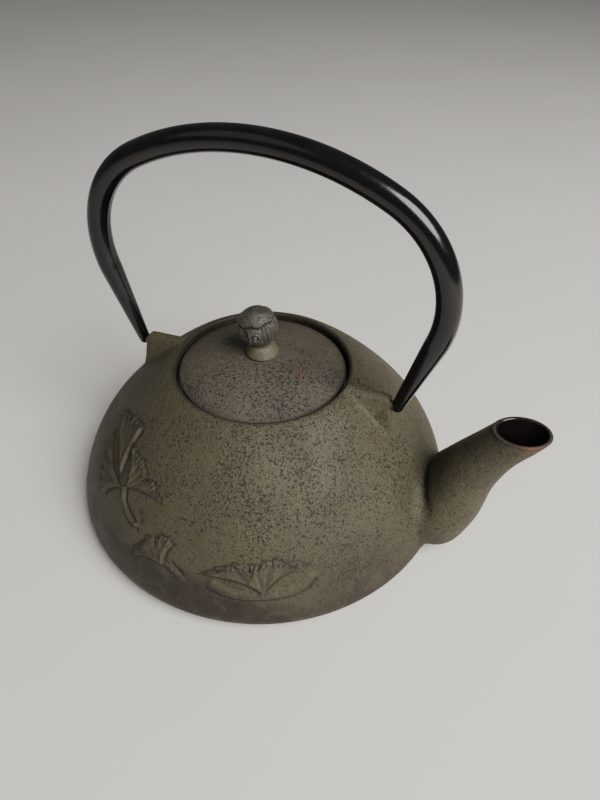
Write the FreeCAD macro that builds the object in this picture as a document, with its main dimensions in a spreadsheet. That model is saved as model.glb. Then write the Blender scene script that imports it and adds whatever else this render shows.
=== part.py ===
"""Cast iron teapot with a sprung bail handle, a riveted lid knob and a steel infuser basket.

Frame: the origin is the centre of the flat foot, +Z is up and the spout points along +X.
Lengths are in millimetres and angles in degrees.
"""
import FreeCAD, Part
import math
import os
import Sketcher
from FreeCAD import Placement, Rotation, Vector

os.makedirs("parts", exist_ok=True)
doc = FreeCAD.newDocument("cast_iron_teapot")

SIZES = {
    # pot casting: outside of the dome, from the foot up to the mouth
    "foot_radius": 79.2, "corner_bend": 8.8,
    "flank_radius": 87.8, "flank_height": 10.75, "flank_bend": 72.0,
    "shoulder_radius": 71.6, "shoulder_height": 42.9, "shoulder_bend": 180.0,
    "neck_radius": 46.5, "neck_height": 66.8, "crown_bend": 31.0,
    "mouth_radius": 38.0, "rim_height": 71.4, "rim_round": 1.2,
    # wall, and how far the cavity's outline stands aside of and below the outside's
    "wall": 3.5, "shoulder_aside": 2.73, "shoulder_below": 2.2, "neck_aside": 1.05,
    "trim_above_rim": 10.0,
    # ledge inside the mouth that carries the basket and the lid
    "seat_radius": 34.0, "seat_height": 66.2, "ledge": 3.2,
    # ears that hold the bail
    "ear_inner": 40.0,
    "ear_foot_height": 48.0, "ear_foot_reach": 60.4, "ear_foot_half_width": 6.2,
    "ear_shoulder_height": 69.6, "ear_shoulder_reach": 58.2, "ear_shoulder_half_width": 3.0,
    "ear_crest_height": 71.2, "ear_crest_reach": 56.8, "ear_crest_half_width": 1.4,
    "pivot_height": 67.0, "ear_hole_radius": 2.08, "ear_hole_end": 51.0,
    "ear_hole_past": 2.0,
    # spout
    "spout_mouth_reach": 112.0, "spout_mouth_height": 71.6, "spout_mouth_tilt": 6.0,
    "spout_mouth_cut_half": 19.0,
    # lid
    "lid_radius": 36.8, "lid_edge_top": 68.9, "lid_edge_bottom": 66.95, "lid_bend": 94.0,
    "lid_centre_top": 76.7, "lid_centre_bottom": 73.9, "lid_under_bend": 80.0,
    "skirt_radius": 29.8, "skirt_wall": 2.2, "skirt_bottom": 61.5, "skirt_root": 67.9,
    "rivet_hole_radius": 1.65,
    # knob, its collar and its rivet
    "knob_radius": 8.8, "knob_height": 90.4, "knob_flat": 82.1,
    "collar_foot_radius": 7.2, "collar_top_radius": 4.3, "collar_top": 82.0,
    "collar_foot": 76.75, "collar_bend": 11.0, "collar_step": 0.6,
    "rivet_radius": 1.6, "rivet_top": 90.0,
    "rivet_head_radius": 3.1, "rivet_head_top": 72.3, "rivet_head_bottom": 70.8,
    "rivet_head_slope": 0.5,
    "washer_radius": 4.6, "washer_top": 73.4, "washer_bottom": 72.4,
    # bail: centre line and tube
    "bail_top": 165.4, "crown_radius": 111.0, "corner_radius": 43.6, "bail_half_width": 74.1,
    "leg_lean": 17.0, "tube_radius": 4.8, "tube_bore": 3.6, "tip_radius": 2.6, "tip_bore": 1.5,
    # pegs at the ends of the bail
    "peg_radius": 2.0, "peg_end": 51.6, "tang_radius": 1.5, "tang_length": 14.0,
    # infuser basket
    "rim_flange_radius": 37.3, "rim_flange_bottom": 66.25, "rim_flange_top": 66.85,
    "band_outer": 32.6, "band_inner": 32.0, "rim_collar_bottom": 57.0,
    "mesh_outer": 31.95, "mesh_inner": 31.35, "mesh_top": 66.2, "mesh_bottom": 25.4,
    "floor_top": 25.3, "floor_bottom": 24.8, "foot_band_top": 32.0, "foot_band_bottom": 24.1,
    "foot_band_lip": 29.5, "foot_band_gap": 0.1,
}

# Spout sections: reach along X, height, slope of the run above horizontal,
# then the half height and half width of the outside and of the bore.
SPOUT_SECTIONS = [
    (68.0, 21.4, 6.0, 19.4, 21.4, 10.5, 10.8),
    (85.0, 22.4, 20.0, 19.5, 22.4, 12.5, 12.8),
    (94.5, 31.0, 45.0, 17.0, 18.8, 11.6, 11.8),
    (99.0, 45.5, 61.0, 12.0, 12.5, 9.2, 9.3),
    (105.0, 58.5, 62.0, 10.0, 10.1, 7.9, 8.0),
    (111.8, 71.2, 60.0, 9.0, 9.1, 7.4, 7.5),
    (115.6, 78.0, 60.0, 8.8, 8.9, 7.3, 7.4),
]

sheet = doc.addObject("Spreadsheet::Sheet", "Sizes")
for row, (word, number) in enumerate(SIZES.items(), start=1):
    sheet.set(f"A{row}", word)
    sheet.set(f"B{row}", str(number))
    sheet.setAlias(f"B{row}", word)
doc.recompute()


class Size:
    """A number together with the sheet expression that drives it."""

    def __init__(self, value, text):
        self.value = value
        self.text = text

    def __add__(self, other):
        other = as_size(other)
        return Size(self.value + other.value, f"({self.text} + {other.text})")

    def __sub__(self, other):
        other = as_size(other)
        return Size(self.value - other.value, f"({self.text} - {other.text})")

    def __mul__(self, factor):
        return Size(self.value * factor, f"({self.text} * {factor})")


def as_size(value):
    return value if isinstance(value, Size) else Size(float(value), str(float(value)))


def size(word):
    return Size(SIZES[word], f"Sizes.{word}")


def new_body(name):
    body = doc.addObject("PartDesign::Body", name)
    body.Label = name
    return body


def sketch_on(body, name, role, offset=None):
    """An empty sketch on one of the body's own origin planes, moved by an optional offset."""
    sketch = body.newObject("Sketcher::SketchObject", name)
    plane = next(item for item in body.Origin.OriginFeatures if item.Role == role)
    sketch.AttachmentSupport = [(plane, "")]
    sketch.MapMode = "FlatFace"
    sketch.AttachmentOffset = offset or Placement()
    return sketch


def tie(sketch, kind, geometry, end, length):
    """Fixes one end's distance from the sketch's origin along X or Y."""
    axis = {"DistanceX": -2, "DistanceY": -1}[kind]
    if length.value == 0:
        sketch.addConstraint(Sketcher.Constraint("PointOnObject", geometry, end, axis))
        return
    number = sketch.addConstraint(Sketcher.Constraint(kind, -1, 1, geometry, end, length.value))
    sketch.setExpression(f"Constraints[{number}]", length.text)


def outline(sketch, corners):
    """Closed outline. A corner is (across, up), or (across, up, bend) where an arc leads on from it.

    The arc turns left, or right where -1 is given as a fourth value.
    """
    corners = [tuple(as_size(value) for value in corner[:3]) + tuple(corner[3:]) for corner in corners]
    runs = []
    for index, corner in enumerate(corners):
        following = corners[(index + 1) % len(corners)]
        start = Vector(corner[0].value, corner[1].value, 0)
        end = Vector(following[0].value, following[1].value, 0)
        if len(corner) == 2:
            runs.append((sketch.addGeometry(Part.LineSegment(start, end)), 1, 2))
            continue
        turn = corner[3] if len(corner) == 4 else 1
        chord = end - start
        bend = corner[2].value
        rise = math.sqrt(bend ** 2 - (chord.Length / 2) ** 2)
        left = Vector(-chord.y, chord.x, 0).normalize()
        centre = (start + end) * 0.5 + left * (turn * rise)
        full_turn = Part.Circle(centre, Vector(0, 0, 1), bend)
        geometry = sketch.addGeometry(Part.ArcOfCircle(full_turn, *swept(centre, start, end, turn)))
        runs.append((geometry, 1, 2) if turn == 1 else (geometry, 2, 1))
        number = sketch.addConstraint(Sketcher.Constraint("Radius", geometry, bend))
        sketch.setExpression(f"Constraints[{number}]", corner[2].text)
    for index, (geometry, first, last) in enumerate(runs):
        onward = runs[(index + 1) % len(runs)]
        sketch.addConstraint(Sketcher.Constraint("Coincident", geometry, last, onward[0], onward[1]))
        tie(sketch, "DistanceX", geometry, first, corners[index][0])
        tie(sketch, "DistanceY", geometry, first, corners[index][1])


def swept(centre, start, end, turn):
    """Start and end angles of an arc that runs anticlockwise about its centre."""
    if turn == -1:
        start, end = end, start
    first = math.atan2(start.y - centre.y, start.x - centre.x)
    last = math.atan2(end.y - centre.y, end.x - centre.x)
    return first, last if last > first else last + 2 * math.pi


def turned(body, name, corners, cut=False):
    """A ring or a solid of revolution about Z, added to the body or cut out of it."""
    sketch = sketch_on(body, name + "_outline", "XZ_Plane")
    outline(sketch, corners)
    feature = body.newObject("PartDesign::Groove" if cut else "PartDesign::Revolution", name)
    feature.Profile = sketch
    feature.ReferenceAxis = (sketch, ["V_Axis"])
    feature.Angle = 360
    doc.recompute()
    return feature


def ring_body(name, corners):
    """A separate piece made by turning one outline about the pot's axis."""
    body = new_body(name)
    turned(body, name + "_ring", corners)
    return body


def circle(sketch, across, up, radius):
    across, up, radius = as_size(across), as_size(up), as_size(radius)
    centre = Vector(across.value, up.value, 0)
    geometry = sketch.addGeometry(Part.Circle(centre, Vector(0, 0, 1), radius.value))
    number = sketch.addConstraint(Sketcher.Constraint("Radius", geometry, radius.value))
    sketch.setExpression(f"Constraints[{number}]", radius.text)
    tie(sketch, "DistanceX", geometry, 3, across)
    tie(sketch, "DistanceY", geometry, 3, up)


def oval(sketch, half_height, half_width):
    """An oval about the sketch's origin, at least as wide as it is high."""
    widest, highest = Vector(0, half_width, 0), Vector(-half_height, 0, 0)
    geometry = sketch.addGeometry(Part.Ellipse(widest, highest, Vector(0, 0, 0)))
    sketch.exposeInternalGeometry(geometry)
    across, upright = geometry + 1, geometry + 2
    sketch.addConstraint(Sketcher.Constraint("Coincident", geometry, 3, -1, 1))
    sketch.addConstraint(Sketcher.Constraint("Vertical", across))
    sketch.addConstraint(Sketcher.Constraint("Distance", across, 2 * half_width))
    sketch.addConstraint(Sketcher.Constraint("Distance", upright, 2 * half_height))


def spout_loft(body, name, column, cut=False):
    """A tube through the spout's oval sections, with the half sizes from the given column on."""
    sketches = []
    for index, section in enumerate(SPOUT_SECTIONS):
        reach, height, slope = section[:3]
        offset = Placement(Vector(reach, 0, height), Rotation(Vector(0, 1, 0), 90 - slope))
        sketch = sketch_on(body, f"{name}_section_{index + 1}", "XY_Plane", offset)
        oval(sketch, *section[column:column + 2])
        sketches.append(sketch)
    kind = "PartDesign::SubtractiveLoft" if cut else "PartDesign::AdditiveLoft"
    feature = body.newObject(kind, name)
    feature.Profile = sketches[0]
    feature.Sections = sketches[1:]
    doc.recompute()
    return feature


def ear(body):
    """One wedge-shaped ear: wide at its foot, narrow at its shoulder and bevelled at its crest."""
    sketches = []
    for part in ("foot", "shoulder", "crest"):
        height = f"ear_{part}_height"
        offset = Placement(Vector(0, 0, SIZES[height]), Rotation())
        sketch = sketch_on(body, f"ear_{part}_section", "XY_Plane", offset)
        sketch.setExpression("AttachmentOffset.Base.z", f"Sizes.{height}")
        near, far, side = size("ear_inner"), size(f"ear_{part}_reach"), size(f"ear_{part}_half_width")
        outline(sketch, [(near, side * -1), (far, side * -1), (far, side), (near, side)])
        sketches.append(sketch)
    wedge = body.newObject("PartDesign::AdditiveLoft", "ear_wedge")
    wedge.Profile = sketches[0]
    wedge.Sections = sketches[1:]
    wedge.Ruled = True
    doc.recompute()
    return wedge


def ear_hole(body):
    """Blind round hole for a bail peg, from the ear's outer face towards the pot."""
    blind_end = Placement(Vector(0, 0, SIZES["ear_hole_end"]), Rotation())
    sketch = sketch_on(body, "ear_hole_circle", "YZ_Plane", blind_end)
    sketch.setExpression("AttachmentOffset.Base.z", "Sizes.ear_hole_end")
    circle(sketch, 0, size("pivot_height"), size("ear_hole_radius"))
    hole = body.newObject("PartDesign::Pocket", "ear_hole")
    hole.Profile = sketch
    hole.Reversed = True
    hole.setExpression("Length", "Sizes.ear_foot_reach - Sizes.ear_hole_end + Sizes.ear_hole_past")
    doc.recompute()
    return hole


def mirrored(body, name, features):
    """Repeats features on the side away from the spout."""
    mirror = body.newObject("PartDesign::Mirrored", name)
    mirror.Originals = features
    plane = next(item for item in body.Origin.OriginFeatures if item.Role == "YZ_Plane")
    mirror.MirrorPlane = (plane, [""])
    body.Tip = mirror
    doc.recompute()
    return mirror


def build_pot_body():
    body = new_body("pot_body")
    foot, flank = size("foot_radius"), size("flank_radius")
    shoulder, neck = size("shoulder_radius"), size("neck_radius")
    wall, mouth, rim = size("wall"), size("mouth_radius"), size("rim_height")
    turned(body, "dome", [
        (0, 0),
        (foot, 0, size("corner_bend")),
        (flank, size("flank_height"), size("flank_bend")),
        (shoulder, size("shoulder_height"), size("shoulder_bend")),
        (neck, size("neck_height"), size("crown_bend")),
        (mouth + size("rim_round"), rim),
        (0, rim),
    ])
    spout_loft(body, "spout_outside", 3)
    wedge = ear(body)
    mirrored(body, "both_ears", [wedge])

    # The cavity follows the outside one wall thickness in, measured square to the slope.
    shoulder_in = (shoulder - size("shoulder_aside"), size("shoulder_height") - size("shoulder_below"))
    ledge_bottom = size("seat_height") - size("ledge")
    turned(body, "cavity", [
        (0, wall),
        (foot, wall, size("corner_bend") - wall),
        (flank - wall, size("flank_height"), size("flank_bend") - wall),
        (shoulder_in[0], shoulder_in[1], size("shoulder_bend") - wall),
        (neck - size("neck_aside"), ledge_bottom),
        (size("seat_radius"), ledge_bottom),
        (size("seat_radius"), size("seat_height")),
        (mouth, size("seat_height")),
        (mouth, rim - size("rim_round"), size("rim_round"), -1),
        (mouth + size("rim_round"), rim),
        (mouth + size("rim_round"), rim + size("trim_above_rim")),
        (0, rim + size("trim_above_rim")),
    ], cut=True)
    spout_loft(body, "spout_bore", 5, cut=True)

    # The spout ends in a flat mouth that rises slightly towards its tip.
    reach, tilt = SIZES["spout_mouth_reach"], SIZES["spout_mouth_tilt"]
    mouth_plane = Placement(Vector(reach, 0, SIZES["spout_mouth_height"]), Rotation(Vector(0, 1, 0), -tilt))
    square = sketch_on(body, "spout_mouth_square", "XY_Plane", mouth_plane)
    half = size("spout_mouth_cut_half")
    outline(square, [(half * -1, half * -1), (half, half * -1), (half, half), (half * -1, half)])
    trim = body.newObject("PartDesign::Pocket", "spout_mouth_cut")
    trim.Profile = square
    trim.Reversed = True
    trim.setExpression("Length", "Sizes.spout_mouth_cut_half")
    doc.recompute()

    hole = ear_hole(body)
    mirrored(body, "both_ear_holes", [hole])
    return body


def build_lid():
    hole, skirt = size("rivet_hole_radius"), size("skirt_radius")
    return ring_body("lid", [
        (hole, size("lid_centre_bottom"), size("lid_under_bend"), -1),
        (skirt - size("skirt_wall"), size("skirt_root")),
        (skirt - size("skirt_wall"), size("skirt_bottom")),
        (skirt, size("skirt_bottom")),
        (skirt, size("lid_edge_bottom")),
        (size("lid_radius"), size("lid_edge_bottom")),
        (size("lid_radius"), size("lid_edge_top"), size("lid_bend")),
        (hole, size("lid_centre_top")),
    ])


def build_knob_group():
    hole = size("rivet_hole_radius")
    collar_edge = size("collar_foot") + size("collar_step")
    collar = ring_body("knob_collar", [
        (hole, size("collar_foot")),
        (size("collar_foot_radius"), size("collar_foot")),
        (size("collar_foot_radius"), collar_edge, size("collar_bend"), -1),
        (size("collar_top_radius"), size("collar_top")),
        (hole, size("collar_top")),
    ])
    flat_reach = math.sqrt(SIZES["knob_radius"] ** 2 - (SIZES["knob_height"] - SIZES["knob_flat"]) ** 2)
    knob = ring_body("lid_knob", [
        (0, size("knob_flat")),
        (flat_reach, size("knob_flat"), size("knob_radius")),
        (size("knob_radius"), size("knob_height"), size("knob_radius")),
        (0, size("knob_height") + size("knob_radius")),
    ])
    rivet = ring_body("knob_rivet", [
        (0, size("rivet_head_bottom")),
        (size("rivet_head_radius"), size("rivet_head_bottom") + size("rivet_head_slope")),
        (size("rivet_head_radius"), size("rivet_head_top")),
        (size("rivet_radius"), size("rivet_head_top")),
        (size("rivet_radius"), size("rivet_top")),
        (0, size("rivet_top")),
    ])
    washer = ring_body("rivet_washer", [
        (hole, size("washer_bottom")),
        (size("washer_radius"), size("washer_bottom")),
        (size("washer_radius"), size("washer_top")),
        (hole, size("washer_top")),
    ])
    return [collar, knob, rivet, washer]


def bail_line():
    """Centres, radii and angles of the bail's arcs, and the ends of its straight right-hand leg."""
    crown, corner = SIZES["crown_radius"], SIZES["corner_radius"]
    crown_centre = Vector(0, 0, SIZES["bail_top"] - crown)
    corner_x = SIZES["bail_half_width"] - corner
    corner_rise = math.sqrt((crown - corner) ** 2 - corner_x ** 2)
    corner_centre = crown_centre + Vector(corner_x, 0, corner_rise)
    joint_angle = math.degrees(math.atan2(corner_rise, corner_x))
    lean = math.radians(SIZES["leg_lean"])
    leg_start = corner_centre + Vector(math.cos(lean), 0, -math.sin(lean)) * corner
    drop = (leg_start.z - SIZES["pivot_height"]) / math.cos(lean)
    leg_end = leg_start + Vector(-math.sin(lean), 0, -math.cos(lean)) * drop
    return crown_centre, corner_centre, joint_angle, leg_start, leg_end


def torus_arc(name, centre, bend, tube, start, sweep):
    """Part of a torus standing in the XZ plane, from the start angle anticlockwise."""
    arc = doc.addObject("Part::Torus", name)
    arc.setExpression("Radius1", bend.text)
    arc.setExpression("Radius2", tube.text)
    arc.Angle3 = sweep
    turn = Rotation(Vector(1, 0, 0), 90).multiply(Rotation(Vector(0, 0, 1), start))
    arc.Placement = Placement(centre, turn)
    return arc


def bail_solid(name, tube, tip, closed):
    """The bail's whole bent tube as one solid; the outside has rounded tips."""
    crown_centre, corner_centre, joint_angle, leg_start, leg_end = bail_line()
    lean = SIZES["leg_lean"]
    crown = size("crown_radius")
    crown_sweep = 180 - 2 * joint_angle
    pieces = [torus_arc(name + "_crown", crown_centre, crown, tube, joint_angle, crown_sweep)]
    for side, word in ((1, "front"), (-1, "rear")):
        base = f"{name}_{word}"
        centre = Vector(side * corner_centre.x, 0, corner_centre.z)
        start = -lean if side == 1 else 180 - joint_angle
        sweep = joint_angle + lean
        pieces.append(torus_arc(base + "_corner", centre, size("corner_radius"), tube, start, sweep))
        leg_top = Vector(side * leg_start.x, 0, leg_start.z)
        leg_tip = Vector(side * leg_end.x, 0, leg_end.z)
        leg = doc.addObject("Part::Cone", base + "_leg")
        leg.setExpression("Radius1", tube.text)
        leg.setExpression("Radius2", tip.text)
        leg.Height = (leg_tip - leg_top).Length
        leg.Placement = Placement(leg_top, Rotation(Vector(0, 0, 1), leg_tip - leg_top))
        pieces.append(leg)
        if closed:
            end = doc.addObject("Part::Sphere", base + "_tip")
            end.setExpression("Radius", tip.text)
            end.Placement = Placement(leg_tip, Rotation())
            pieces.append(end)
    whole = doc.addObject("Part::MultiFuse", name)
    whole.Shapes = pieces
    return whole


def build_bail():
    outside = bail_solid("bail_outside", size("tube_radius"), size("tip_radius"), closed=True)
    bore = bail_solid("bail_bore", size("tube_bore"), size("tip_bore"), closed=False)
    bail = doc.addObject("Part::Cut", "handle_bail")
    bail.Base = outside
    bail.Tool = bore
    bail.Label = "handle_bail"
    return bail


def build_pegs():
    """Two steel pegs: a round pin in the ear and a thinner tang up inside the end of the bail."""
    leg_start, leg_end = bail_line()[3:]
    pegs = []
    for side, name in ((1, "handle_hook_front"), (-1, "handle_hook_rear")):
        pin_end = Vector(side * SIZES["peg_end"], 0, leg_end.z)
        corner = Vector(side * leg_end.x, 0, leg_end.z)
        upward = Vector(side * (leg_start.x - leg_end.x), 0, leg_start.z - leg_end.z)
        pin = doc.addObject("Part::Cylinder", name + "_pin")
        pin.setExpression("Radius", "Sizes.peg_radius")
        pin.Height = (corner - pin_end).Length
        pin.Placement = Placement(pin_end, Rotation(Vector(0, 0, 1), corner - pin_end))
        bend = doc.addObject("Part::Sphere", name + "_bend")
        bend.setExpression("Radius", "Sizes.peg_radius")
        bend.Placement = Placement(corner, Rotation())
        tang = doc.addObject("Part::Cylinder", name + "_tang")
        tang.setExpression("Radius", "Sizes.tang_radius")
        tang.setExpression("Height", "Sizes.tang_length")
        tang.Placement = Placement(corner, Rotation(Vector(0, 0, 1), upward))
        peg = doc.addObject("Part::MultiFuse", name)
        peg.Shapes = [pin, bend, tang]
        peg.Label = name
        pegs.append(peg)
    return pegs


def build_infuser():
    outer, inner = size("band_outer"), size("band_inner")
    band_step = size("floor_bottom") - size("foot_band_gap")
    rim = ring_body("infuser_rim", [
        (inner, size("rim_collar_bottom")),
        (outer, size("rim_collar_bottom")),
        (outer, size("rim_flange_bottom")),
        (size("rim_flange_radius"), size("rim_flange_bottom")),
        (size("rim_flange_radius"), size("rim_flange_top")),
        (inner, size("rim_flange_top")),
    ])
    mesh_wall = ring_body("infuser_mesh_wall", [
        (size("mesh_inner"), size("mesh_bottom")),
        (size("mesh_outer"), size("mesh_bottom")),
        (size("mesh_outer"), size("mesh_top")),
        (size("mesh_inner"), size("mesh_top")),
    ])
    mesh_floor = ring_body("infuser_mesh_floor", [
        (0, size("floor_bottom")),
        (size("mesh_outer"), size("floor_bottom")),
        (size("mesh_outer"), size("floor_top")),
        (0, size("floor_top")),
    ])
    foot_band = ring_body("infuser_bottom_band", [
        (size("foot_band_lip"), size("foot_band_bottom")),
        (outer, size("foot_band_bottom")),
        (outer, size("foot_band_top")),
        (inner, size("foot_band_top")),
        (inner, band_step),
        (size("foot_band_lip"), band_step),
    ])
    return [rim, mesh_wall, mesh_floor, foot_band]


def check_and_export(nodes):
    """Stops on any failed feature or unsound shape, then writes one file for each piece."""
    doc.recompute()
    for item in doc.Objects:
        if "Invalid" in item.State or "Error" in item.State:
            raise RuntimeError(f"{item.Name} did not recompute: {item.State}")
    for node in nodes:
        shape = node.Shape
        if shape.isNull() or not shape.isValid() or not shape.Solids:
            raise RuntimeError(f"{node.Label} has no sound solid")
        shape.exportStep(f"parts/{node.Label}.step")
        box = shape.BoundBox
        print(f"{node.Label:22} {shape.Volume / 1000:8.2f} cm3  x {box.XMin:7.2f} {box.XMax:7.2f}"
              f"  y {box.YMin:7.2f} {box.YMax:7.2f}  z {box.ZMin:7.2f} {box.ZMax:7.2f}")


pieces = [
    build_pot_body(),
    build_lid(),
    *build_knob_group(),
    build_bail(),
    *build_pegs(),
    *build_infuser(),
]
check_and_export(pieces)
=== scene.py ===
"""Cast iron teapot: the finished looks of the pot, lid, knob, bail and infuser basket.

Lengths are in metres and angles in degrees. The origin is the centre of the flat foot, +Z is up and
the spout points along +X.
"""

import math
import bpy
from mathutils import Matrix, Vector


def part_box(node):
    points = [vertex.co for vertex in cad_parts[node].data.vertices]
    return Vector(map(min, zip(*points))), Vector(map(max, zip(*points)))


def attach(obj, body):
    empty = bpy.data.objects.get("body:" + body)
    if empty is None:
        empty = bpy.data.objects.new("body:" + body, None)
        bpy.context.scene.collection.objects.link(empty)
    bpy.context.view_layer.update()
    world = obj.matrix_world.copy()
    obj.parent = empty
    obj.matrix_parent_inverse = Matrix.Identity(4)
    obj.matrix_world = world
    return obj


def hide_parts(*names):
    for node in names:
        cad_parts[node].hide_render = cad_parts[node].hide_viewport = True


bl_info = {
    "name": "Cast iron teapot",
    "version": (1, 0, 0),
    "blender": (4, 5, 0),
    "location": "View3D > Sidebar > Teapot",
    "description": "Builds a cast iron teapot with its lid, bail and infuser basket",
    "category": "Add Mesh",
}

import bmesh
import bpy
import numpy as np
from bpy.props import FloatProperty, FloatVectorProperty, PointerProperty
from mathutils import Matrix, Vector, noise
from mathutils.bvhtree import BVHTree

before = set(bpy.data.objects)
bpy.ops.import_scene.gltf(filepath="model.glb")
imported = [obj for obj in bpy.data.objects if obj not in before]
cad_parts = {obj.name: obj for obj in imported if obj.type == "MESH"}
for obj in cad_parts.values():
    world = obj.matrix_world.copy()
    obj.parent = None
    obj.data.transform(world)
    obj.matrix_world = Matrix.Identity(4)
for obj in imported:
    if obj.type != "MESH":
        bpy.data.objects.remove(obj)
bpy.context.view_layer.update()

MM = 0.001
POT_LOW, POT_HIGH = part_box("pot_body")
LID_LOW, LID_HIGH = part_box("lid")
KNOB_LOW, KNOB_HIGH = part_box("lid_knob")
COLLAR_LOW, COLLAR_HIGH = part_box("knob_collar")
BAIL_LOW, BAIL_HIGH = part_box("handle_bail")
RIM_LOW, RIM_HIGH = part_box("infuser_rim")
MESH_LOW, MESH_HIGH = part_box("infuser_mesh_wall")
FLOOR_LOW, FLOOR_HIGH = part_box("infuser_mesh_floor")
BAND_LOW, BAND_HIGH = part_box("infuser_bottom_band")

# Spout sections: reach along X, height, slope of the run above horizontal, then the half height and
# half width of the outside and of the bore. Lengths in millimetres, slope in degrees.
SPOUT_SECTIONS = [
    (64.0, 21.5, 4.0, 18.6, 22.0, 10.5, 10.8),
    (86.6, 19.7, 25.0, 17.9, 23.1, 12.3, 12.7),
    (92.5, 30.1, 48.5, 16.0, 19.4, 11.4, 11.8),
    (97.3, 45.7, 57.5, 11.9, 12.9, 9.2, 9.4),
    (103.9, 59.2, 61.0, 9.6, 9.9, 7.9, 8.1),
    (111.8, 71.2, 60.0, 9.0, 9.2, 7.4, 7.5),
    (115.6, 78.0, 60.0, 8.8, 8.9, 7.3, 7.4),
]

# How finely the dome is turned: from and to in degrees round from the spout, and the steps between.
DOME_SECTORS = [
    (-30, 30, 44), (30, 165, 48), (165, 195, 20), (195, 206, 6), (206, 314, 312), (314, 330, 8),
]

# Sprays of fan-shaped leaves cast in low relief. A place is degrees round from the spout and
# millimetres up the side from the foot. Reaches are millimetres from the stalk to the left end,
# middle and right end of the fringe; lean and spread are degrees.
FANS = [
    {"place": (239.0, 50.6), "lean": -38, "spread": 24, "reach": (32.0, 27.0, 23.0), "notch": 0.25},
    {"place": (241.2, 49.2), "lean": -104, "spread": 34, "reach": (13.0, 21.0, 29.0), "notch": 0.1},
    {"place": (242.8, 50.4), "lean": 21, "spread": 54, "reach": (17.5, 13.6, 20.0), "notch": 0.30},
    {"place": (294.2, 27.8), "lean": -9, "spread": 66, "reach": (25.0, 13.4, 20.5), "notch": -0.3},
    {"place": (266.0, 31.6), "lean": -46, "spread": 56, "reach": (17.6, 13.2, 11.4), "notch": 0.15},
]
STEMS = [
    [(280.5, 31.2), (284.5, 28.6), (289.5, 27.3), (295.0, 27.6), (300.0, 28.7), (304.0, 30.6), (307.2, 33.6)],
    [(242.4, 50.0), (243.6, 47.0), (245.6, 44.4), (248.8, 42.4), (252.6, 41.0)],
    [(265.8, 32.6), (268.2, 31.2), (271.6, 29.6)],
]
STEM_HALF_WIDTHS = [2.3, 1.5, 1.7]
CUTS = [
    [(278.4, 28.6), (283.0, 25.9), (288.0, 24.9), (293.4, 25.1), (298.2, 25.2), (302.4, 26.1), (306.0, 28.3),
     (308.8, 32.0)],
    [(243.4, 50.6), (244.6, 48.0), (246.6, 45.4), (249.4, 43.8), (252.0, 42.6)],
    [(244.6, 45.0), (247.4, 42.0), (250.6, 40.4), (254.0, 40.0)],
    [(266.4, 32.4), (270.2, 29.6)],
    [(268.0, 34.8), (271.6, 31.8)],
    [(286.6, 39.4), (288.2, 36.6), (290.2, 33.8)],
    [(291.0, 40.0), (291.2, 37.0)],
]
DENTS = [
    (276.2, 28.0), (280.2, 24.6), (270.2, 21.4), (264.6, 19.6), (286.8, 23.0), (252.7, 47.3), (254.2, 44.6),
]

# The spout's mouth, the ears and their holes. An ear level is a height, a reach along X and a half width.
# Lengths in millimetres, angles in degrees.
MOUTH_CENTRE = (112.0, 0.0, 71.6)
MOUTH_TILT = 6.0
LIP_STEPS = 5
EAR_LEVELS = [(48.0, 60.4, 6.2), (60.5, 59.6, 4.4), (69.9, 58.4, 2.9), (71.6, 56.6, 1.0)]
EAR_INNER = 40.0
EAR_EDGE = 1.0
HOLE_REACH = 58.0
HOLE_HEIGHT = 67.0
HOLE_RADIUS = 2.1
HOLE_DEPTH = 14.0

# Heading of the side that carries the leaves, and how near two vertices are taken as one, in metres.
LEAF_SIDE = (0.37, -0.93, 0.0)
SAME_PLACE = 1e-6


# ---------------------------------------------------------------- properties

def length(name, description, millimetres):
    """A length property whose default is given in millimetres."""
    return FloatProperty(name=name, description=description, default=millimetres * MM,
                         min=0.0, unit="LENGTH", precision=4)


def tint(name, description, colour):
    """A colour property."""
    return FloatVectorProperty(name=name, description=description, default=colour, min=0.0, max=1.0,
                               size=3, subtype="COLOR")


def amount(name, description, default, top=1.0):
    """A plain number property."""
    return FloatProperty(name=name, description=description, default=default, min=0.0, max=top)


class TeapotPot(bpy.types.PropertyGroup):
    """Sizes of the pot casting."""
    foot_radius: length("Foot radius", "Edge of the flat foot", 79.2)
    corner_bend: length("Foot bend", "Bend between the foot and the flank", 8.8)
    flank_radius: length("Flank radius", "Widest radius of the dome", 87.8)
    flank_height: length("Flank height", "Height of the widest radius", 10.75)
    flank_bend: length("Flank bend", "Bend of the flank's outline", 72.0)
    shoulder_radius: length("Shoulder radius", "Radius where the flank meets the shoulder", 71.6)
    shoulder_height: length("Shoulder height", "Height where the flank meets the shoulder", 42.9)
    shoulder_bend: length("Shoulder bend", "Bend of the shoulder's outline", 180.0)
    neck_radius: length("Neck radius", "Radius where the shoulder meets the crown", 46.5)
    neck_height: length("Neck height", "Height where the shoulder meets the crown", 66.8)
    crown_bend: length("Crown bend", "Bend of the crown's outline", 31.0)
    mouth_radius: length("Mouth radius", "Radius of the opening for the lid", 38.0)
    rim_height: length("Rim height", "Height of the mouth's rim", 71.4)
    rim_round: length("Rim round", "Rounding of the rim's inner edge", 1.2)
    wall: length("Wall", "Thickness of the casting", 3.5)
    seat_radius: length("Seat radius", "Inner edge of the ledge in the mouth", 34.0)
    seat_height: length("Seat height", "Top of the ledge in the mouth", 66.2)
    ledge: length("Ledge", "Thickness of the ledge", 3.2)
    relief_height: length("Relief height", "How far the leaves stand out", 1.15)
    spout_blend: length("Spout blend", "How softly the spout runs into the dome", 3.0)
    ear_blend: length("Ear blend", "How softly the ears run into the dome", 3.0)
    lip_round: length("Lip round", "Rounding of the spout's lip", 0.7)


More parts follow.
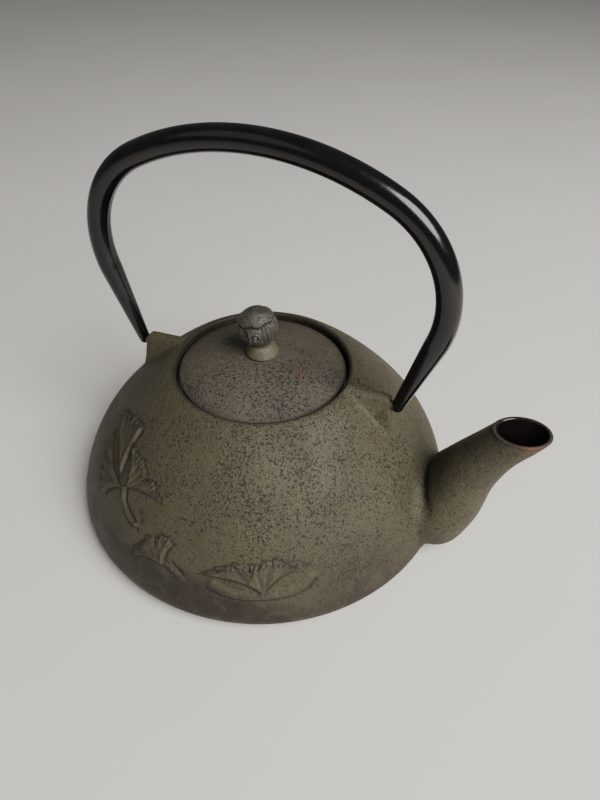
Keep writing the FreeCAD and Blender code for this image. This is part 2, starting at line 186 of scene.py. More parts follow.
class TeapotLid(bpy.types.PropertyGroup):
    """Sizes of the lid, its collar and its knob."""
    edge_round: length("Edge round", "Rounding of the lid's edge", 0.55)
    edge_top: length("Edge top", "Height of the lid's edge", 68.9)
    edge_bottom: length("Edge bottom", "Underside of the lid's edge", 66.95)
    top_bend: length("Top bend", "Bend of the lid's upper face", 94.0)
    centre_bottom: length("Centre bottom", "Underside of the lid at the rivet", 73.9)
    under_bend: length("Under bend", "Bend of the lid's lower face", 80.0)
    skirt_radius: length("Skirt radius", "Outside of the skirt under the lid", 29.8)
    skirt_wall: length("Skirt wall", "Thickness of the skirt", 2.2)
    skirt_root: length("Skirt root", "Height of the corner inside the skirt", 67.9)
    rivet_hole: length("Rivet hole", "Radius of the hole for the rivet", 1.65)
    collar_top_radius: length("Collar top", "Radius of the collar under the knob", 4.3)
    knob_sway: length("Knob sway", "How far the loose knob hangs over to the rear", 1.5)


class TeapotBail(bpy.types.PropertyGroup):
    """Sizes of the bail."""
    crown_radius: length("Crown radius", "Bend of the top of the bail", 111.0)
    corner_radius: length("Corner radius", "Bend of the bail's upper corners", 43.6)
    half_width: length("Half width", "Widest reach of the centre line", 74.1)
    tube_radius: length("Tube radius", "Radius of the tube", 4.8)
    tip_radius: length("Tip radius", "Radius at the ends of the legs", 2.6)
    pivot_height: length("Pivot height", "Height of the pegs that the bail swings on", 67.0)
    leg_lean: FloatProperty(name="Leg lean", description="Lean of the legs from upright, in degrees",
                            default=17.0)
    seam: length("Seam", "Depth of the seam along the inner side", 0.22)


class TeapotBasket(bpy.types.PropertyGroup):
    """Sizes of the infuser basket."""
    wire: length("Wire", "Thickness of the wire in the mesh", 0.34)
    pitch: length("Pitch", "Distance from wire to wire", 1.3)
    band_wall: length("Band wall", "Thickness of the sheet in the bands", 0.6)
    lip_radius: length("Lip radius", "Inner edge of the foot band's lip", 29.5)


class TeapotFinish(bpy.types.PropertyGroup):
    """Colours of the finishes."""
    iron: tint("Iron", "Olive grey skin of the pot", (0.053, 0.047, 0.026))
    iron_brown: tint("Worn iron", "Browner patches on the pot", (0.049, 0.039, 0.023))
    lid_iron: tint("Lid iron", "Greyer skin of the lid", (0.070, 0.061, 0.045))
    lid_brown: tint("Lid brown", "Browner patches on the lid", (0.048, 0.038, 0.031))
    collar_iron: tint("Collar iron", "Tan skin of the collar", (0.086, 0.075, 0.046))
    knob_iron: tint("Knob iron", "Skin of the knob", (0.064, 0.060, 0.050))
    knob_dark: tint("Knob dark", "Darker mottling of the knob", (0.020, 0.019, 0.018))
    # Pit also gives the colour of the painted shade in grooves, hollows and gaps.
    pit: tint("Pit", "Bottom of the pits in the iron", (0.010, 0.008, 0.007))
    rust: tint("Rust", "Rust where the paint has gone", (0.26, 0.085, 0.022))
    enamel: tint("Enamel", "Black enamel inside the pot", (0.010, 0.008, 0.008))
    bail: tint("Bail", "Black lacquer on the bail", (0.0022, 0.0022, 0.0025))
    steel: tint("Steel", "Stainless steel of the basket", (0.52, 0.51, 0.49))
    peg: tint("Peg", "Dull steel of the pegs and the rivet", (0.16, 0.145, 0.125))
    floor: tint("Floor", "Pale floor", (0.72, 0.70, 0.66))


class TeapotStage(bpy.types.PropertyGroup):
    """Camera and light."""
    camera: FloatVectorProperty(name="Camera", description="Place of the camera", size=3, unit="LENGTH",
                                default=(0.09253, -0.18568, 0.23466))
    azimuth: FloatProperty(name="Azimuth", description="Heading of the view in degrees, 0 along +Y",
                           default=21.9)
    tilt: FloatProperty(name="Tilt", description="How far the camera looks down, in degrees",
                        default=41.89)
    roll: FloatProperty(name="Roll", description="Turn of the camera about its view, in degrees",
                        default=0.84)
    lens: amount("Lens", "Focal length in millimetres", 26.95, 200.0)
    key_power: amount("Key power", "Power of the large soft light in watts", 26.0, 200.0)
    fill_power: amount("Fill power", "Power of the fill light in watts", 1.0, 200.0)
    sky: amount("Sky", "Strength of the even light from all round", 0.14, 5.0)


# ---------------------------------------------------------------- outlines

def arc(start, end, bend, steps, turn=1):
    """Points on an arc with its centre left of the way from start to end, or right of it if turn is -1."""
    start, end = Vector(start), Vector(end)
    chord = end - start
    rise = math.sqrt(max(bend ** 2 - (chord.length / 2) ** 2, 0.0))
    left = Vector((-chord.y, chord.x)).normalized()
    centre = (start + end) / 2 + left * rise * turn
    first = math.atan2(start.y - centre.y, start.x - centre.x)
    sweep = 2 * math.asin(min(chord.length / 2 / bend, 1.0)) * turn
    angles = [first + sweep * step / steps for step in range(steps + 1)]
    return [centre + Vector((math.cos(angle), math.sin(angle))) * bend for angle in angles]


def line(start, end, steps):
    """Points on a straight run."""
    return [Vector(start).lerp(Vector(end), step / steps) for step in range(steps + 1)]


def chained(*runs):
    """One list of points from runs that meet end to end."""
    points = list(runs[0])
    for run in runs[1:]:
        points += list(run)[1:]
    return points


def dome_side(pot):
    """The outside of the dome from the edge of the foot up to the rim."""
    foot, flank = (pot.foot_radius, 0), (pot.flank_radius, pot.flank_height)
    shoulder, neck = (pot.shoulder_radius, pot.shoulder_height), (pot.neck_radius, pot.neck_height)
    rim = (pot.mouth_radius + pot.rim_round, pot.rim_height)
    return chained(
        arc(foot, flank, pot.corner_bend, 10),
        arc(flank, shoulder, pot.flank_bend, 80),
        arc(shoulder, neck, pot.shoulder_bend, 52),
        arc(neck, rim, pot.crown_bend, 8),
    )


def cavity_outline(pot):
    """The hollow of the pot, one wall in from the outside, with the ledge that carries the lid."""
    wall, rim = pot.wall, pot.rim_height
    ledge_bottom = pot.seat_height - pot.ledge
    flank = (pot.flank_radius - wall, pot.flank_height)
    shoulder = (pot.shoulder_radius - wall * 0.78, pot.shoulder_height - wall * 0.63)
    neck = (pot.neck_radius - wall * 0.3, ledge_bottom)
    mouth, seat = pot.mouth_radius, pot.seat_radius
    above = rim + 3 * wall
    return chained(
        line((0, wall), (pot.foot_radius, wall), 4),
        arc((pot.foot_radius, wall), flank, pot.corner_bend - wall, 6),
        arc(flank, shoulder, pot.flank_bend - wall, 12),
        arc(shoulder, neck, pot.shoulder_bend - wall, 8),
        line(neck, (seat, ledge_bottom), 1),
        line((seat, ledge_bottom), (seat, pot.seat_height), 1),
        line((seat, pot.seat_height), (mouth, pot.seat_height), 1),
        line((mouth, pot.seat_height), (mouth, rim - pot.rim_round), 2),
        arc((mouth, rim - pot.rim_round), (mouth + pot.rim_round, rim), pot.rim_round, 5, turn=-1),
        line((mouth + pot.rim_round, rim), (mouth + pot.rim_round, above), 1),
        line((mouth + pot.rim_round, above), (0, above), 2),
    )


def lid_outline(lid):
    """The lid's section, from the rivet hole under the lid to the skirt, the edge and over the top."""
    radius, bottom, top = LID_HIGH.x, LID_LOW.z, LID_HIGH.z
    soft, wall, skirt = lid.edge_round, lid.skirt_wall, lid.skirt_radius
    inner = skirt - wall
    return chained(
        arc((lid.rivet_hole, lid.centre_bottom), (inner, lid.skirt_root), lid.under_bend, 14, turn=-1),
        line((inner, lid.skirt_root), (inner, bottom + soft), 3),
        arc((inner, bottom + soft), (inner + soft, bottom), soft, 3),
        line((inner + soft, bottom), (skirt - soft, bottom), 1),
        arc((skirt - soft, bottom), (skirt, bottom + soft), soft, 3),
        line((skirt, bottom + soft), (skirt, lid.edge_bottom), 2),
        line((skirt, lid.edge_bottom), (radius - soft, lid.edge_bottom), 3),
        arc((radius - soft, lid.edge_bottom), (radius, lid.edge_bottom + soft), soft, 3),
        line((radius, lid.edge_bottom + soft), (radius, lid.edge_top - soft), 1),
        arc((radius, lid.edge_top - soft), (radius - soft, lid.edge_top + soft * 0.15), soft * 1.1, 4),
        arc((radius - soft, lid.edge_top + soft * 0.15), (lid.rivet_hole, top), lid.top_bend, 34),
    )


def collar_outline(lid):
    """The low flared collar that the knob stands on."""
    base, top = COLLAR_LOW.z, COLLAR_HIGH.z
    foot = lid.collar_top_radius + 2.75 * MM
    waist = lid.collar_top_radius + 1.55 * MM
    return chained(
        line((lid.rivet_hole, base), (foot - 0.3 * MM, base), 3),
        arc((foot - 0.3 * MM, base), (foot, base + 1.1 * MM), 0.9 * MM, 4),
        line((foot, base + 1.1 * MM), (waist, base + 3.6 * MM), 3),
        arc((waist, base + 3.6 * MM), (lid.collar_top_radius, top), 3.2 * MM, 4),
        line((lid.collar_top_radius, top), (lid.rivet_hole, top), 2),
    )


def band_outline(inner, outer, bottom, top, flange=None):
    """A thin band of rolled sheet with rounded edges and an optional flange at its top."""
    soft = (outer - inner) * 0.45
    run = chained(
        arc((inner, bottom + soft), (inner + soft, bottom), soft, 3),
        line((inner + soft, bottom), (outer - soft, bottom), 1),
        arc((outer - soft, bottom), (outer, bottom + soft), soft, 3),
    )
    if flange is None:
        return run + chained(
            arc((outer, top - soft), (outer - soft, top), soft, 3),
            line((outer - soft, top), (inner + soft, top), 1),
            arc((inner + soft, top), (inner, top - soft), soft, 3),
        )
    thick = outer - inner
    return run + chained(
        line((outer, top - thick - soft), (outer + soft, top - thick), 1),
        line((outer + soft, top - thick), (flange - soft, top - thick), 3),
        arc((flange - soft, top - thick), (flange, top - thick + soft), soft, 3),
        line((flange, top - thick + soft), (flange, top - soft), 1),
        arc((flange, top - soft), (flange - soft, top), soft, 3),
        line((flange - soft, top), (inner + soft, top), 3),
        arc((inner + soft, top), (inner, top - soft), soft, 3),
    )


# ---------------------------------------------------------------- mesh helpers

def turned(outline, sectors=((0, 360, 96),), closed=False):
    """Turns an outline of (radius, height) points about Z, sector by sector, and closes its seam.

    A sector is its first and last heading in degrees and its number of steps.
    """
    bm = bmesh.new()
    start = math.radians(sectors[0][0])
    verts = [bm.verts.new((point[0] * math.cos(start), point[0] * math.sin(start), point[1]))
             for point in outline]
    pairs = list(zip(verts, verts[1:])) + ([(verts[-1], verts[0])] if closed else [])
    geometry = verts + [bm.edges.new(pair) for pair in pairs]
    for first, last, steps in sectors:
        spun = bmesh.ops.spin(bm, geom=geometry, cent=(0, 0, 0), axis=(0, 0, 1),
                              angle=math.radians(last - first), steps=steps, use_duplicate=False,
                              use_merge=last - first == 360)
        geometry = spun["geom_last"]
    bmesh.ops.remove_doubles(bm, verts=bm.verts, dist=SAME_PLACE)
    bmesh.ops.recalc_face_normals(bm, faces=bm.faces)
    return bm


def lofted(places, segments, capped=True):
    """A skin over rings: each place is a matrix that puts a unit circle where its ring goes."""
    bm = bmesh.new()
    rings = []
    for place in places:
        made = bmesh.ops.create_circle(bm, cap_ends=False, radius=1.0, segments=segments, matrix=place)
        rings.append(list({edge for vert in made["verts"] for edge in vert.link_edges}))
    for lower, upper in zip(rings, rings[1:]):
        bmesh.ops.bridge_loops(bm, edges=lower + upper)
    if capped:
        bmesh.ops.edgeloop_fill(bm, edges=rings[0])
        bmesh.ops.edgeloop_fill(bm, edges=rings[-1])
    bmesh.ops.recalc_face_normals(bm, faces=bm.faces)
    return bm


def smooth_between(rows, steps):
    """Rows of numbers on a smooth curve through the given rows."""
    padded = [rows[0]] + list(rows) + [rows[-1]]
    result = []
    for index in range(1, len(padded) - 2):
        before, start, end, after = (np.array(row) for row in padded[index - 1:index + 3])
        for step in range(steps):
            part = step / steps
            result.append(0.5 * (2 * start + (end - before) * part
                                 + (2 * before - 5 * start + 4 * end - after) * part ** 2
                                 + (3 * start - before - 3 * end + after) * part ** 3))
    result.append(np.array(rows[-1]))
    return result


def object_from(bm, name):
    """A new object in the scene with the mesh, which stays in the bmesh's own frame."""
    mesh = bpy.data.meshes.new(name)
    bm.to_mesh(mesh)
    bm.free()
    piece = bpy.data.objects.new(name, mesh)
    bpy.context.scene.collection.objects.link(piece)
    return piece


def baked(piece):
    """Makes what the object's modifiers give its own mesh and removes the modifiers."""
    graph = bpy.context.evaluated_depsgraph_get()
    mesh = bpy.data.meshes.new_from_object(piece.evaluated_get(graph))
    piece.modifiers.clear()
    piece.data = mesh


def combined(base, tool, operation):
    """Joins the tool to the base or cuts it out of it, and removes the tool."""
    modifier = base.modifiers.new(operation.lower(), "BOOLEAN")
    modifier.object = tool
    modifier.operation = operation
    modifier.solver = "MANIFOLD"
    before = len(base.data.vertices)
    baked(base)
    if not base.data.polygons or len(base.data.vertices) == before:
        raise RuntimeError(f"{operation} of {tool.name} changed nothing")
    bpy.data.objects.remove(tool)


def attribute(piece, name, values):
    """Stores one number for each vertex, for the finish to read."""
    layer = piece.data.attributes.new(name, "FLOAT", "POINT")
    layer.data.foreach_set("value", np.asarray(values, np.float32))


def coordinates(mesh):
    """The mesh's vertices as an array."""
    points = np.empty(len(mesh.vertices) * 3, np.float32)
    mesh.vertices.foreach_get("co", points)
    return points.reshape(-1, 3).astype(float)


def finished(piece, body, finish, nodes, smooth_angle=38):
    """Gives a piece its finishes, smooth shading and body, and hides the nodes that it takes the place of."""
    finishes = finish if isinstance(finish, (list, tuple)) else [finish]
    piece.data.materials.clear()
    for material in finishes:
        piece.data.materials.append(material)
    piece.data.shade_smooth()
    piece.data.set_sharp_from_angle(angle=math.radians(smooth_angle))
    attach(piece, body)
    if nodes:
        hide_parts(*nodes)
    return piece


def ramp(values, low, high):
    """Rises smoothly from 0 at low to 1 at high."""
    part = np.clip((values - low) / (high - low), 0, 1)
    return part * part * (3 - 2 * part)


def bell(values, width):
    """1 at 0, falling away over the width."""
    return np.exp(-(values / width) ** 2)


# ---------------------------------------------------------------- materials

def socket_of(value):
    return isinstance(value, bpy.types.NodeSocket)


def add(tree, kind, settings=None, **inputs):
    """A shader node with its settings and inputs; an underscore in an input's name stands for a space."""
    node = tree.nodes.new("ShaderNode" + kind)
    for name, value in (settings or {}).items():
        setattr(node, name, value)
    for name, value in inputs.items():
        target = node.inputs[name.replace("_", " ")]
        if socket_of(value):
            tree.links.new(value, target)
        else:
            target.default_value = value
    return node


def sums(tree, operation, first, second=None, third=None):
    """One step of arithmetic on sockets or numbers."""
    node = tree.nodes.new("ShaderNodeMath")
    node.operation = operation
    for target, value in zip(node.inputs, (first, second, third)):
        if value is None:
            continue
        if socket_of(value):
            tree.links.new(value, target)
        else:
            target.default_value = value
    return node.outputs[0]


def mixed(tree, share, first, second, kind="MIX"):
    """One colour over another by a share from 0 to 1."""
    node = tree.nodes.new("ShaderNodeMix")
    node.data_type = "RGBA"
    node.blend_type = kind
    for target, value in zip((node.inputs[0], node.inputs[6], node.inputs[7]), (share, first, second)):
        if socket_of(value):
            tree.links.new(value, target)
        elif isinstance(value, (int, float)):
            target.default_value = value
        else:
            target.default_value = (*value, 1.0)
    return node.outputs[2]


def steps_of(tree, value, low, high, out_low=0.0, out_high=1.0):
    """Rises smoothly from out_low to out_high as the value goes from low to high."""
    node = add(tree, "MapRange", {"interpolation_type": "SMOOTHSTEP", "clamp": True}, Value=value,
               From_Min=low, From_Max=high, To_Min=out_low, To_Max=out_high)
    return node.outputs[0]


def cloud(tree, place, scale, detail=3.0, roughness=0.55):
    """Soft noise from 0 to 1."""
    return add(tree, "TexNoise", Vector=place, Scale=scale, Detail=detail, Roughness=roughness).outputs[0]


def new_material(name):
    """A material with its tree, shader and object coordinates."""
    material = bpy.data.materials.new(name)
    material.use_nodes = True
    tree = material.node_tree
    tree.nodes.clear()
    output = tree.nodes.new("ShaderNodeOutputMaterial")
    shader = tree.nodes.new("ShaderNodeBsdfPrincipled")
    tree.links.new(shader.outputs[0], output.inputs[0])
    place = tree.nodes.new("ShaderNodeTexCoord").outputs["Object"]
    return material, tree, shader, place


def pits(tree, place, scale, density):
    """Short irregular pits, the more of them the higher the density: 1 in a pit, 0 on the skin."""
    marks = cloud(tree, place, scale, 2.0, 0.5)
    edge = sums(tree, "MULTIPLY_ADD", density, -0.125, 0.725)
    return steps_of(tree, sums(tree, "SUBTRACT", marks, edge), 0.0, 0.05)


def cast_iron(name, skin, patch, look, roughness=0.62, grain=1.0, pitted=True):
    """Painted cast iron: grainy, clouded, pitted where the piece says so, with rust, scorch darkening that
    also carries painted shade, and painted shade in grooves and gaps.
    """
    material, tree, shader, place = new_material(name)
    blotch = cloud(tree, place, 34.0, 5.0, 0.6)
    colour = mixed(tree, steps_of(tree, blotch, 0.40, 0.66), skin, patch)
    fleck = cloud(tree, place, 420.0, 4.0, 0.65)
    colour = mixed(tree, steps_of(tree, fleck, 0.30, 0.72, 0.0, 0.55), colour, [c * 1.45 for c in skin])
    dust = cloud(tree, place, 1250.0, 2.0, 0.6)
    colour = mixed(tree, steps_of(tree, dust, 0.50, 0.66, 0.0, 0.30), colour, [c * 0.45 for c in skin])
    # Scorch darkens the foot. On the pot the same attribute also carries painted shade on the lower left,
    # away from the light, and in the crease at the spout's root, browning and charring the colour there.
    scorch_and_shade = add(tree, "Attribute", {"attribute_name": "scorch_and_shade"}).outputs["Fac"]
    scorch_and_shade_tint = sums(tree, "MINIMUM", sums(tree, "MULTIPLY", scorch_and_shade, 0.40), 0.6)
    colour = mixed(tree, scorch_and_shade_tint, colour, (0.022, 0.017, 0.011))
    char_and_shade_patches = sums(tree, "MULTIPLY", scorch_and_shade, steps_of(tree, cloud(tree, place, 130.0, 6.0, 0.75), 0.33, 0.54))
    colour = mixed(tree, sums(tree, "MINIMUM", char_and_shade_patches, 0.92), colour, (0.017, 0.011, 0.008))
    # Painted shade in grooves, hollows and gaps, in the dark colour of the pits.
    painted_shade = add(tree, "Attribute", {"attribute_name": "painted_shade"}).outputs["Fac"]
    colour = mixed(tree, sums(tree, "MULTIPLY", painted_shade, 0.86), colour, look.pit)
    relief = sums(tree, "MULTIPLY", dust, 0.9 * grain)
    relief = sums(tree, "ADD", relief, sums(tree, "MULTIPLY", fleck, 0.9 * grain))
    if pitted:
        density = add(tree, "Attribute", {"attribute_name": "pitting"}).outputs["Fac"]
        clumps = steps_of(tree, cloud(tree, place, 75.0, 3.0, 0.6), 0.34, 0.64, 0.72, 1.15)
        density = sums(tree, "MULTIPLY", density, clumps)
        large = pits(tree, place, 900.0, density)
        small = pits(tree, place, 1500.0, density)
        pit = sums(tree, "MAXIMUM", large, sums(tree, "MULTIPLY", small, 0.8))
        colour = mixed(tree, sums(tree, "MULTIPLY", pit, 0.93), colour, look.pit)
        relief = sums(tree, "SUBTRACT", relief, sums(tree, "MULTIPLY", pit, 1.5))
    rust = add(tree, "Attribute", {"attribute_name": "rust"}).outputs["Fac"]
    broken = steps_of(tree, cloud(tree, place, 620.0, 4.0, 0.7), 0.40, 0.60)
    colour = mixed(tree, sums(tree, "MULTIPLY", rust, broken), colour, look.rust)
    tree.links.new(colour, shader.inputs["Base Color"])
    sheen = steps_of(tree, blotch, 0.3, 0.7, roughness - 0.07, roughness + 0.08)
    tree.links.new(sheen, shader.inputs["Roughness"])
    shader.inputs["Specular IOR Level"].default_value = 0.42
    bump = add(tree, "Bump", Strength=0.9, Distance=0.00045, Height=relief)
    tree.links.new(bump.outputs[0], shader.inputs["Normal"])
    return material


def black_enamel(name, colour, roughness, ripple):
    """Glossy black enamel with a faint ripple and slightly uneven gloss."""
    material, tree, shader, place = new_material(name)
    drift = cloud(tree, place, 60.0, 3.0)
    warm = [c * 1.9 for c in colour]
    tree.links.new(mixed(tree, steps_of(tree, drift, 0.35, 0.7), colour, warm), shader.inputs["Base Color"])
    scuffs = cloud(tree, place, 900.0, 4.0, 0.7)
    gloss = steps_of(tree, scuffs, 0.45, 0.75, roughness, roughness + 0.12)
    tree.links.new(gloss, shader.inputs["Roughness"])
    shader.inputs["Specular IOR Level"].default_value = 0.34
    shader.inputs["Coat Weight"].default_value = 0.15
    shader.inputs["Coat Roughness"].default_value = 0.08
    waves = sums(tree, "ADD", cloud(tree, place, 170.0, 2.0), sums(tree, "MULTIPLY", scuffs, 0.08))
    bump = add(tree, "Bump", Strength=ripple, Distance=0.0004, Height=waves)
    tree.links.new(bump.outputs[0], shader.inputs["Normal"])
    return material


def steel(name, colour, roughness, stain):
    """Brushed or dull steel, with the darker stain of use on it."""
    material, tree, shader, place = new_material(name)
    drawn = add(tree, "Mapping", Vector=place, Scale=(1.0, 1.0, 14.0)).outputs[0]
    streaks = cloud(tree, drawn, 320.0, 3.0, 0.6)
    smudge = cloud(tree, place, 90.0, 4.0, 0.6)
    tone = mixed(tree, steps_of(tree, streaks, 0.3, 0.7), colour, [c * 0.72 for c in colour])
    stained = [c * 0.35 for c in colour]
    tone = mixed(tree, steps_of(tree, smudge, 0.52, 0.72, 0.0, stain), tone, stained)
    tree.links.new(tone, shader.inputs["Base Color"])
    shader.inputs["Metallic"].default_value = 1.0
    tree.links.new(steps_of(tree, smudge, 0.3, 0.75, roughness, roughness + 0.2), shader.inputs["Roughness"])
    bump = add(tree, "Bump", Strength=0.25, Distance=0.00012, Height=streaks)
    tree.links.new(bump.outputs[0], shader.inputs["Normal"])
    return material


def pale_floor(look):
    """A plain pale floor with the faintest drift in its tone."""
    material, tree, shader, place = new_material("pale_floor")
    drift = steps_of(tree, cloud(tree, place, 5.0, 4.0), 0.3, 0.7)
    tone = mixed(tree, drift, look.floor, [c * 0.96 for c in look.floor])
    tree.links.new(tone, shader.inputs["Base Color"])
    shader.inputs["Roughness"].default_value = 0.85
    return material


# ---------------------------------------------------------------- pot casting

def side_lengths(side):
    """Distance up the side, height and radius at each point of the dome's side, in millimetres."""
    points = np.array([tuple(point) for point in side]) / MM
    runs = np.hypot(*np.diff(points, axis=0).T)
    return np.concatenate([[0.0], np.cumsum(runs)]), points[:, 1], points[:, 0]


def chart(points, side):
    """Degrees round from the spout, millimetres up the side and radius in millimetres, for each vertex."""
    ups, heights, radii = side_lengths(side)
    around = np.degrees(np.arctan2(points[:, 1], points[:, 0])) % 360
    up = np.interp(points[:, 2] / MM, heights, ups)
    return around, up, np.interp(up, ups, radii)


def distance_to_curve(around, up, radius, curve):
    """Millimetres over the skin from each vertex to a smooth curve through places on the side."""
    stops = smooth_between(curve, 5)
    nearest = np.full(len(around), 1e3)
    for start, end in zip(stops, stops[1:]):
        scale = np.radians(1) * radius
        along, rise = (end[0] - start[0]) * scale, end[1] - start[1]
        x, y = (around - start[0]) * scale, up - start[1]
        part = np.clip((x * along + y * rise) / (along ** 2 + rise ** 2), 0, 1)
        nearest = np.minimum(nearest, np.hypot(x - part * along, y - part * rise))
    return nearest


def fan_relief(around, up, radius, fan):
    """Height and painted shade of one fan-shaped leaf: a soft pad with a crinkled fringe and fine veins."""
    across = (around - fan["place"][0]) * np.radians(1) * radius
    rise = up - fan["place"][1]
    lean, spread = math.radians(fan["lean"]), math.radians(fan["spread"])
    angle = np.arctan2(across, rise) - lean
    angle = (angle + math.pi) % math.tau - math.pi
    reach = np.hypot(across, rise)
    share = np.clip(angle / spread, -1.3, 1.3)
    left, middle, right = fan["reach"]
    ends = np.where(share < 0, left, right)
    fringe = middle + (ends - middle) * np.abs(share) ** 1.7
    phase = fan["place"][0]
    crinkle = 0.50 * np.sin(share * 9.0 + phase) + 0.34 * np.sin(share * 21.0 + 2 * phase)
    crinkle += 0.26 * np.sin(share * 43.0 + 3 * phase)
    fringe = fringe + crinkle - 3.6 * bell(share - fan["notch"], 0.07)
    limit = spread * (0.42 + 0.58 * np.clip(reach / fringe, 0, 1) ** 0.9)
    to_fringe = fringe - reach
    to_side = (limit - np.abs(angle)) * reach
    inside = np.minimum(to_fringe, to_side)
    pad = ramp(inside, -0.25, 1.3)
    roll = 0.34 * bell(to_side - 1.1, 0.9) - 0.30 * ramp(inside, 1.5, 5.0)
    veins = 0.13 * np.sin(share * 17.0 + phase) * ramp(reach, 1.5, 5.0) * ramp(to_fringe, 0.0, 2.0)
    ruffle = np.sin(share * 41.0 + 5 * phase + 2.2 * np.sin(reach * 1.3)) * bell(to_fringe - 1.2, 1.5)
    ruffle = ruffle * (np.abs(share) < 1.02) * ramp(to_side, 0.2, 1.2)
    cut = bell(inside + 0.45, 0.50) * (reach > 1.0) * (reach < fringe + 3)
    pocket = np.clip(ruffle, 0, 1)
    height = pad * (0.86 + roll + veins) - 0.50 * cut - 0.50 * pocket * pad
    # Painted shade in the leaf's outline cut, the pockets of its fringe and its veins.
    lace = bell(to_fringe - 0.6, 1.1) * (to_side > 0.3) * pad
    shade = np.clip(1.1 * cut + 1.5 * lace * pocket + 0.25 * lace, 0, 1)
    shade = np.maximum(shade, 0.35 * pad * np.clip(-veins / 0.13, 0, 1) ** 2)
    return height * (reach < 60), shade * (reach < 60)


def sprays(around, up, radius):
    """Height above the plain dome, as a share of the relief, and painted shade of the leaf sprays."""
    height = np.zeros(len(around))
    shade = np.zeros(len(around))
    for fan in FANS:
        leaf, dark = fan_relief(around, up, radius, fan)
        pad = ramp(leaf, 0.0, 0.35)
        shade = np.maximum(shade * (1 - 0.8 * pad), dark)
        height = np.where(leaf < 0, np.minimum(height + leaf, height), np.maximum(height, leaf))
    for stem, half in zip(STEMS, STEM_HALF_WIDTHS):
        away = distance_to_curve(around, up, radius, stem)
        height = np.maximum(height, 0.75 * ramp(-away, -half * 1.15, -half * 0.2))
    for curve in CUTS:
        away = distance_to_curve(around, up, radius, curve)
        height = height - 0.55 * bell(away, 0.6)
        # Painted shade along each cut line.
        shade = np.maximum(shade, bell(away, 0.62))
    for around_at, up_at in DENTS:
        away = np.hypot((around - around_at) * np.radians(1) * radius, (up - up_at) * 1.3)
        wobble = 0.5 * np.sin(around * 5.1 + up * 2.3) + 0.5 * np.sin(around * 3.1 - up * 4.1)
        height = height - 0.30 * bell(away, 1.5 + 0.5 * wobble)
        # Painted shade in each dent.
        shade = np.maximum(shade, 0.8 * bell(away, 1.3 + 0.6 * wobble))
    return height, shade


def dome_solid(pot):
    """The dome as one filled solid with the leaf sprays raised on its side."""
    side = dome_side(pot)
    rim = pot.rim_height
    outline = chained(line((0, 0), (pot.foot_radius, 0), 5), side, line(side[-1], (0, rim), 3))
    bm = turned(outline, DOME_SECTORS)
    bm.normal_update()
    bm.verts.ensure_lookup_table()
    points = np.array([vert.co[:] for vert in bm.verts])
    around, up, radius = chart(points, side)
    flank = np.hypot(points[:, 0], points[:, 1]) > pot.mouth_radius * 1.15
    flank &= (points[:, 2] > pot.flank_height * 0.6) & (points[:, 2] < pot.neck_height)
    height = sprays(around, up, radius)[0] * flank
    for index in np.nonzero(np.abs(height) > 1e-3)[0]:
        vert = bm.verts[index]
        vert.co += vert.normal * float(height[index]) * pot.relief_height
    return object_from(bm, "pot_casting")


def spout_places(column, steps):
    """Rings along the spout, with the half sizes from the given column of its sections."""
    places = []
    for row in smooth_between(SPOUT_SECTIONS, steps):
        reach, height, slope = row[0] * MM, row[1] * MM, row[2]
        turn = Matrix.Rotation(math.radians(90 - slope), 4, "Y")
        ring = Matrix.Diagonal((row[column] * MM, row[column + 1] * MM, 1.0, 1.0))
        places.append(Matrix.Translation((reach, 0, height)) @ turn @ ring)
    return places


def mouth_plane():
    """A point on the spout's mouth and the direction straight out of it."""
    tilt = math.radians(MOUTH_TILT)
    return Vector(MOUTH_CENTRE) * MM, Vector((-math.sin(tilt), 0, math.cos(tilt)))


def rounded_to_mouth(bm, pot, widening, beyond):
    """Cuts a tube just under the mouth and carries it on in a quarter circle, wider or narrower."""
    point, outward = mouth_plane()
    everything = bm.verts[:] + bm.edges[:] + bm.faces[:]
    cut = bmesh.ops.bisect_plane(bm, geom=everything, plane_co=point - outward * pot.lip_round,
                                 plane_no=outward, clear_outer=True)
    edges = [item for item in cut["geom_cut"] if isinstance(item, bmesh.types.BMEdge)]
    for step in range(LIP_STEPS + (beyond > 0)):
        grown = bmesh.ops.extrude_edge_only(bm, edges=edges)["geom"]
        verts = [item for item in grown if isinstance(item, bmesh.types.BMVert)]
        edges = [item for item in grown if isinstance(item, bmesh.types.BMEdge)
                 and all(vert in verts for vert in item.verts)]
        centre = sum((vert.co for vert in verts), Vector()) / len(verts)
        rise, spread = beyond, 0.0
        if step < LIP_STEPS:
            before, after = (math.radians(90 * part / LIP_STEPS) for part in (step, step + 1))
            rise = pot.lip_round * (math.sin(after) - math.sin(before))
            spread = pot.lip_round * (math.cos(before) - math.cos(after)) * widening
        for vert in verts:
            vert.co += (vert.co - centre).normalized() * spread + outward * rise
    bmesh.ops.edgeloop_fill(bm, edges=edges)
    bmesh.ops.recalc_face_normals(bm, faces=bm.faces)


def spout_solid(pot):
    """The outside of the spout with a rounded outer edge at its mouth."""
    bm = lofted(spout_places(3, 7), 64)
    rounded_to_mouth(bm, pot, -1, 0)
    return object_from(bm, "spout_outside")


def bore_solid(pot):
    """The spout's bore, which flares to a rounded edge at the mouth and goes on past it."""
    bm = lofted(spout_places(5, 7), 64)
    rounded_to_mouth(bm, pot, 1, 8 * pot.lip_round)
    return object_from(bm, "spout_bore")


